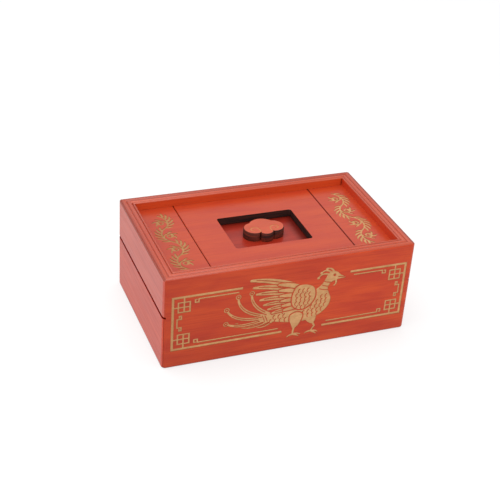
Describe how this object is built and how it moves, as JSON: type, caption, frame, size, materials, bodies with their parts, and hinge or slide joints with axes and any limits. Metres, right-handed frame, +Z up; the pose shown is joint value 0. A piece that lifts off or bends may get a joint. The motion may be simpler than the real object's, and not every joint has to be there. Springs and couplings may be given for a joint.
{
  "type": "secret box",
  "caption": "Red-stained wooden keepsake box with a moulded mitred rim, sunk top boards, a sliding cloud-shaped lock knob and hidden drawers that slide out of the ends",
  "frame": {"origin": "middle of the underside, on the surface the box stands on", "axes": "+X along the length to the right as seen from the front, +Y to the back, +Z up"},
  "size_m": [0.18, 0.111, 0.07],
  "materials": {
    "stained_wood": "red-orange stain under satin lacquer",
    "bare_wood": "planed, unstained"
  },
  "bodies": {
    "case": {"front_panel": "stained_wood", "back_panel": "stained_wood", "left_upper_end": "stained_wood", "right_upper_end": "stained_wood", "bottom_board": "stained_wood", "mechanism_deck": "bare_wood", "centre_partition": "bare_wood", "left_top_board": "stained_wood", "centre_top_board": "stained_wood", "right_top_board": "stained_wood", "left_plate_guide": "bare_wood", "right_plate_guide": "bare_wood", "left_drawer_stop": "bare_wood", "right_drawer_stop": "bare_wood"},
    "lock": {"lock_plate": "stained_wood", "cloud_knob": "stained_wood", "left_lock_peg": "bare_wood", "right_lock_peg": "bare_wood"},
    "left_drawer": {"left_drawer_front": "stained_wood", "left_drawer_near_side": "bare_wood", "left_drawer_far_side": "bare_wood", "left_drawer_back": "bare_wood", "left_drawer_bottom": "bare_wood"},
    "right_drawer": {"right_drawer_front": "stained_wood", "right_drawer_near_side": "bare_wood", "right_drawer_far_side": "bare_wood", "right_drawer_back": "bare_wood", "right_drawer_bottom": "bare_wood"}
  },
  "joints": [
    {"name": "knob_slide", "type": "slide", "parent": "case", "child": "lock", "axis": [0, 1, 0], "range_m": [-0.0076, 0.0076]},
    {"name": "left_drawer_slide", "type": "slide", "parent": "case", "child": "left_drawer", "axis": [-1, 0, 0], "range_m": [0, 0.06]},
    {"name": "right_drawer_slide", "type": "slide", "parent": "case", "child": "right_drawer", "axis": [1, 0, 0], "range_m": [0, 0.06]}
  ]
}
